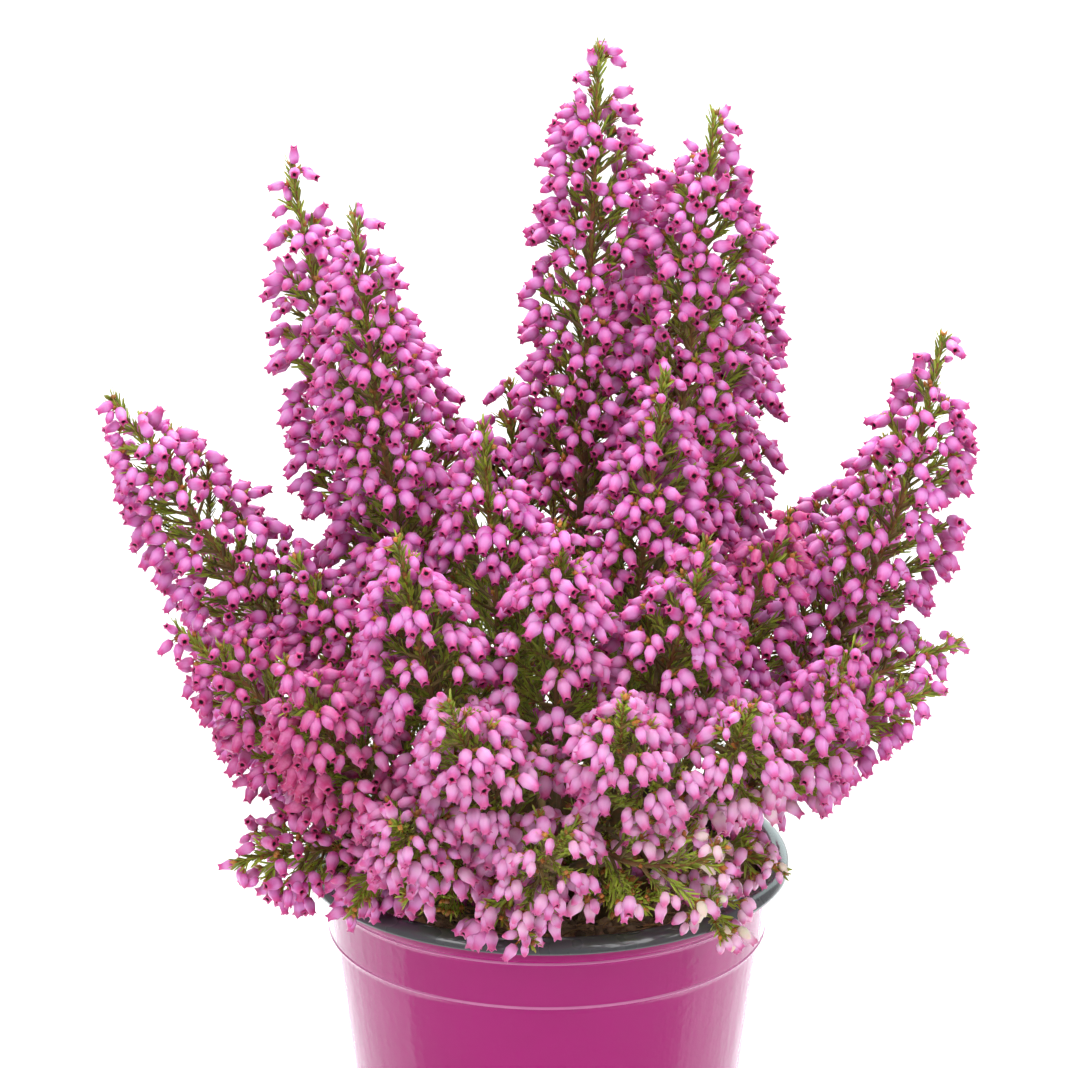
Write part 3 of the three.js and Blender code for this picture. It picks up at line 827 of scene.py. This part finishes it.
def cutDrains(shell):
    drills = bmesh.new()
    for number in range(pot["drains"]):
        turn = fullTurn * number / pot["drains"]
        place = Vector((pot["drainCircle"] * math.cos(turn), pot["drainCircle"] * math.sin(turn), 0))
        bmesh.ops.create_cone(drills, cap_ends=True, segments=32, depth=6 * pot["floor"],
                              radius1=pot["drainRadius"], radius2=pot["drainRadius"],
                              matrix=Matrix.Translation(place))
    cutter = meshPiece("drills", drills, [])
    cut = shell.modifiers.new("drains", "BOOLEAN")
    cut.object = cutter
    cut.solver = "EXACT"
    seen = shell.evaluated_get(bpy.context.evaluated_depsgraph_get())
    shell.data = bpy.data.meshes.new_from_object(seen)
    shell.modifiers.clear()
    bpy.data.objects.remove(cutter)


# Compost

def peatHeight(x, y):
    radius = math.hypot(x, y)
    crown = soilEdge + compost["rise"] * (1 - (radius / pot["mouthRadius"]) ** 2)
    lumps = noise.fractal(Vector((x, y, 0.3)) / compost["lumpSize"], 0.9, 2.1, 4)
    settled = smoothStep(pot["mouthRadius"] * 0.8, pot["mouthRadius"], np.array(radius))
    return crown - 0.0012 + compost["lumps"] * lumps * (1 - 0.5 * float(settled))


def makeCompost(finish):
    gap = pot["wall"] + compost["gap"]
    rim = pot["mouthRadius"] - compost["gap"]
    bottom = pot["floor"] + compost["gap"]
    profile = [(rim * ring / compost["rings"], soilEdge) for ring in range(compost["rings"] + 1)]
    profile += [(pot["stepRadius"] - gap, stepHeight), (wallRadius(bottom) - gap - 0.001, bottom)]
    profile += [(0, bottom)]
    shape = spunShape(profile, compost["sides"])
    for vertex in shape.verts:
        if vertex.co.z > soilEdge - 0.0005:
            vertex.co.z = peatHeight(vertex.co.x, vertex.co.y)
    return meshPiece("compost_bed", shape, [finish])


# Places on the compost, closer together towards the rim, where it shows
def scattered(count, limit):
    radii = limit * between(0, 1, count) ** 0.3
    turns = between(0, fullTurn, count)
    x = radii * np.cos(turns)
    y = radii * np.sin(turns)
    z = np.array([peatHeight(a, b) for a, b in zip(x, y)])
    return np.stack([x, y, z], axis=1)


def makeCrumbs(finish):
    bunch = Bunch()
    least, most = compost["crumbSizes"]
    for roughness in (0.5, 0.8, 1.1):
        count = compost["crumbs"] // 3
        places = scattered(count, pot["mouthRadius"] - 0.001)
        sizes = least + (most - least) * draw.random(count) ** 3
        ways = unit(draw.normal(size=(count, 3)))
        marks = (draw.random(count), (draw.random(count) < compost["paleCrumbs"]) * 0.8)
        bunch.stamp(crumbShape(roughness), places, ways, between(0, 6, count), sizes * 1.5, sizes, marks)
    fibre = tubeShape(4, 3)
    count = compost["fibres"]
    places = scattered(count, pot["mouthRadius"] - 0.003)
    places[:, 2] += 0.0005
    lengths = between(*compost["fibreLengths"], count)
    turns = between(0, fullTurn, count)
    flat = np.stack([np.cos(turns), np.sin(turns), between(-0.15, 0.35, count)], axis=1)
    curl = np.stack([-np.sin(turns), np.cos(turns), between(-0.2, 0.5, count)], axis=1)
    t = np.linspace(-0.5, 0.5, 4)[None, :, None]
    runs = places[:, None] + flat[:, None] * t * lengths[:, None, None]
    bends = lengths * between(-0.8, 0.8, count)
    runs += curl[:, None] * (0.25 - t * t) * bends[:, None, None]
    radii = compost["fibreRadius"] * between(0.6, 1.8, count)[:, None] * np.array([[0.5, 1, 1, 0.4]])
    bunch.bend(fibre, runs, radii, (draw.random(count), between(0.2, 1, count)))
    return bunch.make("compost_crumbs", [finish])


# The plant

# Finish numbers in a foliage piece, where leaves have 0
asBark, asBract = 1, 2

bloom = {
    "length": 0.0052,
    "pedicel": 0.0018,
    "siteStep": 0.0009,
    "spacing": 0.0053,
    "tipSpacing": 0.0042,
    "leafyRoom": 1.22,
    "sparse": 0.6,
    "nearTip": 0.012,
    "atTip": 0.0022,
    "nearScale": 0.88,
    "budScale": 0.8,
    "budShares": (0.10, 0.55, 0.15),
    "calyx": (0.42, 0.36),
    "stalkRadius": 0.00022,
    "reach": 0.0045,
    "hidden": 0.40,
    "hiddenLeaves": 0.42,
    "leafyFree": 0.011,
    "lipFree": (0.0505, 0.0625),
    "overLip": 0.0025,
    "overPeat": 0.0015,
    "bushCentre": (0, 0, 0.150),
    "bushRadii": (0.058, 0.056, 0.048),
    "hangBelow": 0.27,
    "hangRange": 0.13,
    "hangs": (0.25, 0.95),
    "hangLoss": 0.75,
    "stalkAhead": 0.65,
    "ahead": 0.25,
    "aside": 0.75,
    "outward": 0.5,
}
leaf = {
    "length": 0.0036,
    "width": 0.00068,
    "whorlStep": 0.0018,
    "perWhorl": 4,
    "whorlTurn": 1.05,
    "stemWhorlStep": 0.0023,
    "shootStep": 0.0011,
    "shootRadii": (0.0006, 0.0005, 0.00042, 0.0003),
    "woodTaper": 0.72,
    "youngBelow": 0.13,
}
# Where the florets are crimson, pale, soft, sparse, missing or face outward: centres and radii
zones = {
    "crimson": [((-0.058, -0.050, 0.150), 0.032), ((0.054, -0.030, 0.196), 0.018)],
    "soft": [((0.004, -0.086, 0.138), 0.055)],
    "facing": [((-0.078, -0.040, 0.125), 0.060), ((-0.085, -0.030, 0.170), 0.045)],
    "pale": [((0.042, -0.070, 0.112), 0.046), ((-0.022, -0.085, 0.122), 0.020)],
    "sparse": [((0.022, -0.072, 0.110), 0.046)],
    "bare": [((0.010, -0.076, 0.109), 0.009), ((0.022, -0.074, 0.109), 0.009),
             ((-0.020, -0.072, 0.108), 0.007)],
}


def zoneStrength(name, points):
    strength = np.zeros(len(points))
    for centre, radius in zones[name]:
        distance = np.linalg.norm(points - np.array(centre), axis=1)
        strength = np.maximum(strength, np.clip(1.3 - distance / radius, 0, 1))
    return strength


# Where shoots end that leave a stem at these distances along it
def sitesAlong(stem, distances, turns, reach):
    points, along, side, across = placesAlong(stem, distances)
    outward = circling(side, across, turns)
    return {"tips": points + outward * reach[:, None], "outward": outward, "along": along, "reach": reach,
            "distances": distances}


# Where shoots may end: all round the flowering part, at the spray's half width
def shootSites(stem, owner):
    path = stem["path"]
    total = stem["lengths"][-1]
    distances = np.arange(total * stem["bare"] * 0.6, total - 0.001, bloom["siteStep"])
    count = len(distances)
    turns = goldenAngle * np.arange(count) + owner + between(-0.3, 0.3, count)
    shares = np.interp(distances, stem["lengths"], np.linspace(0, 1, len(path)))
    reach = np.maximum(sprayWidths(stem, path, shares) - bloom["reach"], 0.0016) * between(0.86, 1.06, count)
    return {**sitesAlong(stem, distances, turns, reach), "fromTip": total - distances,
            "owner": np.full(count, owner)}


def inPot(points):
    radius = np.hypot(points[:, 0], points[:, 1])
    inner, outer = bloom["lipFree"]
    overLip = (radius > inner) & (radius < outer) & (points[:, 2] < pot["height"] + bloom["overLip"])
    below = (radius <= inner) & (points[:, 2] < soilTop + bloom["overPeat"])
    return overLip | below


# How deep a point lies in the sprays of other stems, as a share of their width; 1 is their surface
def depthAmong(points, owners, stems):
    least = np.full(len(points), 9.0)
    for owner, stem in enumerate(stems):
        apart = distancesTo(points, stem["path"]) / np.maximum(stem["widths"], 0.001)[None]
        nearest = apart.min(axis=1)
        least = np.where(owners == owner, least, np.minimum(least, nearest))
    return least


# Where a floret would hang over a leafy shoot or hide the compost at the front
def keptFree(points, stems):
    free = zoneStrength("bare", points) > 0
    for stem in stems:
        if not stem["flowering"]:
            upper = stem["path"][len(stem["path"]) // 2:]
            free |= distancesTo(points, upper).min(axis=1) < bloom["leafyFree"]
    return free


def thinned(points, spacings, order, kept):
    chosen = []
    places = list(kept)
    for index in order:
        if places:
            apart = np.linalg.norm(np.array(places) - points[index], axis=1)
            if apart.min() < spacings[index]:
                continue
        chosen.append(index)
        places.append(points[index])
    return np.array(chosen, int)


def picked(sites, which):
    return {key: value[which] for key, value in sites.items()}


# Sites on every stem, kept where they show and have room; the rest carry only leaves
def chooseSites(stems):
    found = [shootSites(stem, owner) for owner, stem in enumerate(stems) if stem["flowering"]]
    sites = {key: np.concatenate([one[key] for one in found]) for key in found[0]}
    tips = sites["tips"]
    blocked = inPot(tips + sites["outward"] * 0.001)
    depth = depthAmong(tips + sites["outward"] * 0.002, sites["owner"], stems)
    offset = (tips - np.array(bloom["bushCentre"])) / np.array(bloom["bushRadii"])
    inside = np.linalg.norm(offset, axis=1) < 1
    near = smoothStep(0.0, 0.03, sites["fromTip"])
    spacings = bloom["tipSpacing"] + (bloom["spacing"] - bloom["tipSpacing"]) * near
    spacings *= 1 + bloom["sparse"] * zoneStrength("sparse", tips)
    atTip = sites["fromTip"] < bloom["atTip"]
    order = np.argsort(np.where(atTip, sites["fromTip"] - 1, sites["fromTip"] + between(0, 0.08, len(tips))))
    hangs = np.array([0, 0, bloom["length"] / 2])
    outer = ~blocked & ~inside & (depth > bloom["hidden"]) & ~keptFree(tips - hangs, stems)
    flowering = thinned(tips, spacings, order[outer[order]], [])
    rest = ~blocked & (depth > bloom["hiddenLeaves"])
    rest[flowering] = False
    leafy = thinned(tips, spacings * bloom["leafyRoom"], order[rest[order]], list(tips[flowering]))
    return picked(sites, flowering), picked(sites, leafy)


# Side shoots rise from the stem and end at their sites; each is a run of four points
def shootRuns(stem, sites):
    reach = sites["reach"]
    low = np.maximum(sites["distances"] - reach * 0.95, stem["lengths"][-1] * stem["bare"] * 0.5)
    roots = placesAlong(stem, low)[0]
    bend = roots + sites["outward"] * (reach * 0.5)[:, None] + sites["along"] * (reach * 0.35)[:, None]
    return np.stack([bowed(roots, bend, sites["tips"], t) for t in np.linspace(0, 1, 4)], axis=1)


def grainOf(points, scale):
    return np.array([noise.noise(Vector(point) * scale) for point in points])


# Needles stand in whorls on a run of points and lean forward
def addNeedles(bunch, runs, share, step, fresh):
    starts, directions, tones, freshness = [], [], [], []
    for run, young in zip(runs, fresh):
        lengths = lengthsAlong(run)
        places = np.arange(lengths[-1] * share, lengths[-1], step)
        if len(places) == 0:
            places = np.array([lengths[-1] * 0.9])
        centres = pointsAt(places, lengths, run)
        leg = np.clip(np.searchsorted(lengths, places, side="right") - 1, 0, len(run) - 2)
        along = unit(np.diff(run, axis=0))[leg]
        first, second = crossing(along, [0.31, 0.72, 0.62])
        for k in range(leaf["perWhorl"]):
            turns = fullTurn * k / leaf["perWhorl"] + np.arange(len(places)) * leaf["whorlTurn"]
            turns += between(0, 0.6, len(places))
            spread = between(0.3, 0.72, len(places))[:, None]
            around = circling(first, second, turns)
            starts.append(centres)
            directions.append(unit(along + around * spread))
            tones.append(between(0, 1, len(places)))
            freshness.append(np.full(len(places), young) * (0.5 + 0.5 * places / lengths[-1]))
    starts = np.concatenate(starts)
    directions = np.concatenate(directions)
    count = len(starts)
    lengths = leaf["length"] * between(0.75, 1.2, count)
    widths = leaf["width"] * between(0.8, 1.2, count)
    marks = (np.concatenate(tones), np.concatenate(freshness))
    bunch.stamp(shapes["needle"], starts, directions, anyTurns(count), widths, lengths, marks)
    return count


# Two to four bells on short stalks at the end of a shoot, hanging more the lower they are
def addFlorets(petals, greens, sites, runs):
    ends = unit(runs[:, -1] - runs[:, -2])
    tips = runs[:, -1]
    highest, lowest = bloom["hangs"]
    low = np.clip((bloom["hangBelow"] - tips[:, 2]) / bloom["hangRange"], 0, 1)
    crimson = zoneStrength("crimson", tips)
    pale = zoneStrength("pale", tips)
    soft = zoneStrength("soft", tips)
    hanging = between(0.7, 1.3, len(tips)) * (1 - bloom["hangLoss"] * zoneStrength("facing", tips))
    clusterTone = between(0, 1, len(tips))
    least, inPale, atEnd = bloom["budShares"]
    for number in range(len(tips)):
        near = sites["fromTip"][number] < bloom["nearTip"]
        atTip = sites["fromTip"][number] < bloom["atTip"]
        many = int(draw.choice([2, 3] if near and not atTip else [3, 4, 4]))
        end = ends[number]
        first, second = crossing(end, [0.2, 0.5, 0.84])
        turns = fullTurn * np.arange(many) / many + draw.uniform(0, 6) + between(-0.25, 0.25, many)
        around = circling(first, second, turns)
        stalks = unit(end * bloom["stalkAhead"] + around * between(0.6, 0.95, many)[:, None])
        hang = (highest + lowest * low[number]) * hanging[number] + between(-0.3, 0.35, many)
        ways = end * bloom["ahead"] + around * bloom["aside"] + sites["outward"][number] * bloom["outward"]
        ways = unit(ways - np.array([[0, 0, 1]]) * hang[:, None])
        size = (bloom["nearScale"] if near else 1.0) * between(0.86, 1.12, many)
        stalkLength = bloom["pedicel"] * between(0.7, 1.3, many)
        feet = tips[number] + stalks * stalkLength[:, None]
        tone = np.clip(0.25 + 0.5 * clusterTone[number] + between(-0.25, 0.25, many), 0, 1)
        red = crimson[number] * between(0.5, 1.0, many)
        white = np.clip(pale[number] * between(0.2, 1.4, many), soft[number] * between(0.2, 0.5, many), 1)
        isBud = draw.random(many) < least + inPale * pale[number] + atEnd * near
        variety = draw.integers(0, len(shapes["florets"]), many)
        lengths = bloom["length"] * size
        for kind, shape in enumerate([*shapes["florets"], shapes["bud"]]):
            closed = shape is shapes["bud"]
            chosen = isBud if closed else ~isBud & (variety == kind)
            count = int(chosen.sum())
            if count == 0:
                continue
            sizes = lengths[chosen] * (bloom["budScale"] if closed else 1.0)
            petals.stamp(shape, feet[chosen], ways[chosen], anyTurns(count), sizes, sizes,
                         (tone[chosen], red[chosen], white[chosen]))
        width, length = bloom["calyx"]
        greens.stamp(shapes["calyx"], feet - ways * 0.00025, ways, anyTurns(many), lengths * width,
                     lengths * length, (tone, between(0.1, 0.6, many)), asBract)
        stalkRuns = np.stack([np.repeat(tips[number][None], many, axis=0), feet], axis=1)
        greens.bend(shapes["stalk"], stalkRuns, np.full((many, 2), bloom["stalkRadius"]),
                    (tone, between(0.0, 0.5, many)), asBract)


# Small orange and brown scales at the ends of shoots and along stems
def addBracts(bunch, tips, ends, each):
    count = len(tips)
    for _ in range(each):
        sideways = unit(draw.normal(size=(count, 3)))
        ways = unit(ends + sideways * 0.7)
        sizes = between(0.0014, 0.0027, count)
        marks = (draw.random(count), between(0, 0.4, count))
        bunch.stamp(shapes["bract"], tips, ways, anyTurns(count), sizes * 0.6, sizes, marks, asBract)


# The wood, needles, shoots, bracts and florets of a stem, as a piece of foliage and one of blossom
def growStem(stem, flowering, leafy, finishes):
    greens = Bunch()
    petals = Bunch()
    path = stem["path"]
    shares = np.linspace(0, 1, len(path))
    radii = woodyRadii(stem, shares) * (1 - leaf["woodTaper"] * shares)
    isLow = stem["tip"][2] < leaf["youngBelow"]
    marks = (np.array([0.7]), np.array([0.85 if isLow else 0.35]))
    greens.bend(shapes["stem"], path[None], radii[None], marks, asBark)
    total = stem["lengths"][-1]
    upper = placesAlong(stem, np.linspace(total * stem["bare"], total, 24))[0]
    fresh = 0.25 if stem["flowering"] else 0.8
    needles = addNeedles(greens, upper[None], 0.05, leaf["stemWhorlStep"], [fresh])
    needles += addNeedles(greens, upper[None, -7:], 0, leaf["whorlStep"], [fresh])
    addBracts(greens, upper[8::3], unit(np.gradient(upper, axis=0))[8::3], 2)
    for sites, bareShare, bracts in ((flowering, 0.35, 2), (leafy, 0.25, 3)):
        if len(sites["tips"]) == 0:
            continue
        runs = shootRuns(stem, sites)
        count = len(runs)
        thick = np.array([leaf["shootRadii"]]) * between(0.85, 1.15, count)[:, None]
        marks = (draw.random(count), between(0.5, 1, count))
        greens.bend(shapes["shoot"], runs, thick, marks, asBark)
        low = np.clip((0.19 - runs[:, -1, 2]) / 0.08, 0, 1)
        fresh = 0.1 + 0.5 * low + 0.35 * grainOf(runs[:, -1], 40.0) + between(-0.15, 0.25, count)
        needles += addNeedles(greens, runs, bareShare, leaf["whorlStep"], np.clip(fresh, 0, 1))
        addBracts(greens, runs[:, -1], unit(runs[:, -1] - runs[:, -2]), bracts)
        if sites is flowering:
            addFlorets(petals, greens, sites, runs)
    node = ("flower_stem_" if stem["flowering"] else "leafy_shoot_") + stem["name"]
    foliage = greens.make("foliage_" + stem["name"], [finishes["leaf"], finishes["bark"], finishes["bract"]])
    dress(foliage, "leafy_shoot", node)
    if petals.points:
        dress(petals.make("blossom_" + stem["name"], [finishes["petal"]]), "flower_stem", node)
    return needles


def leafySites(stem):
    total = stem["lengths"][-1]
    distances = np.arange(total * stem["bare"], total, leaf["shootStep"])
    count = len(distances)
    narrowing = np.clip((total - distances) / 0.01, 0.15, 1)
    reach = stem["spread"] * between(0.6, 1.15, count) * narrowing
    sites = sitesAlong(stem, distances, goldenAngle * np.arange(count), reach)
    return picked(sites, ~inPot(sites["tips"]))


# Build

print("stems")
stemKeys = ("name", "tip", "out", "rise", "spread", "bare")
stems = [dict(zip(stemKeys, row), flowering=True) for row in flowerStems]
stems += [dict(zip(stemKeys, row), flowering=False) for row in leafyStems]
for stem, path in zip(stems, spreadPaths(stems)):
    stem["path"] = path
    stem["lengths"] = lengthsAlong(path)
    stem["widths"] = sprayWidths(stem, path, np.linspace(0, 1, len(path)))

shapes = {
    "florets": [openFloret(0.31, 0.18, 0.24), openFloret(0.33, 0.19, 0.25), openFloret(0.29, 0.17, 0.22)],
    "bud": closedBud(),
    "calyx": calyxShape(),
    "needle": needleShape(),
    "bract": readShape(spunShape([(0, 0), (0.5, 0.5), (0, 1)], 4)),
    "stalk": tubeShape(2, 3),
    "shoot": tubeShape(4, 3),
    "stem": tubeShape(stemRun["steps"], 7, True),
}
finishes = {"petal": petalFinish(), "leaf": leafFinish(), "bark": barkFinish(), "bract": bractFinish()}

print("sites")
flowering, leafy = chooseSites(stems)
print("flower clusters", len(flowering["tips"]), "leafy shoots", len(leafy["tips"]))
needles = 0
for owner, stem in enumerate(stems):
    if stem["flowering"]:
        own = [picked(sites, sites["owner"] == owner) for sites in (flowering, leafy)]
    else:
        own = [{"tips": []}, leafySites(stem)]
    needles += growStem(stem, *own, finishes)
print("needles", needles)

print("pot and compost")
dress(makePot(wallFinish(), liningFinish()), "pot_plastic", "pot")
dress(makeCompost(peatFinish()), "compost", "soil")
dress(makeCrumbs(crumbFinish()), "compost")

# Studio

studio = {
    "world": 0.33,
    "floor": (0.93, 0.93, 0.93),
    "lit": (1.0, 1.0, 1.0),
    "mirrored": (0.82, 1.0, 1.0),
    "lights": [
        # place, aim, size, watts, whether it is seen in reflections alone
        ((-0.55, -0.75, 0.95), (0, 0, 0.16), (0.7, 0.7), 5.7, False),
        ((0.65, -0.60, 0.90), (0, 0, 0.16), (0.7, 0.7), 4.5, False),
        ((0.0, 0.9, 1.5), (0, 0.7, 0), (1.8, 1.2), 34.0, False),
        ((0.0, -0.1, 1.2), (0, 0, 0.15), (0.8, 0.8), 4.0, False),
        ((-0.26, 0.25, 0.003), (-0.26, 0.25, 1), (0.39, 0.6), 1.0, True),
        ((0.26, 0.25, 0.003), (0.26, 0.25, 1), (0.39, 0.6), 0.9, True),
        ((0.0, 1.0, 0.6), (0, 0, 0.15), (2.4, 1.1), 11.0, True),
    ],
}
camera = {
    "place": (-0.00321, -1.11104, 0.5557),
    "pitch": 18.32,
    "lens": 163.8,
}


def makeStudio():
    floor = bmesh.new()
    bmesh.ops.create_grid(floor, x_segments=2, y_segments=2, size=8)
    material = newFinish("floor", Roughness=0.7, Base_Color=(*studio["floor"], 1))[0]
    meshPiece("studio_floor", floor, [material], smooth=False)
    world = bpy.data.worlds.new("studio")
    world.use_nodes = True
    background = world.node_tree.nodes["Background"]
    background.inputs["Color"].default_value = (1, 1, 1, 1)
    background.inputs["Strength"].default_value = studio["world"]
    bpy.context.scene.world = world
    for number, (place, aim, size, watts, mirrored) in enumerate(studio["lights"]):
        light = bpy.data.lights.new(f"softbox_{number}", "AREA")
        light.shape = "RECTANGLE"
        light.size, light.size_y = size
        light.energy = watts
        light.color = studio["mirrored"] if mirrored else studio["lit"]
        holder = linked(light.name, light)
        holder.location = place
        holder.rotation_euler = (Vector(aim) - Vector(place)).to_track_quat("-Z", "Y").to_euler()
        holder.visible_camera = False
        holder.visible_diffuse = not mirrored
    lens = bpy.data.cameras.new("camera")
    lens.lens = camera["lens"]
    lens.sensor_width = 36
    lens.clip_end = 50
    eye = linked("camera", lens)
    eye.location = camera["place"]
    eye.rotation_euler = (math.radians(90 - camera["pitch"]), 0, 0)
    bpy.context.scene.camera = eye
    bpy.context.scene.view_settings.view_transform = "Standard"


print("studio")
makeStudio()
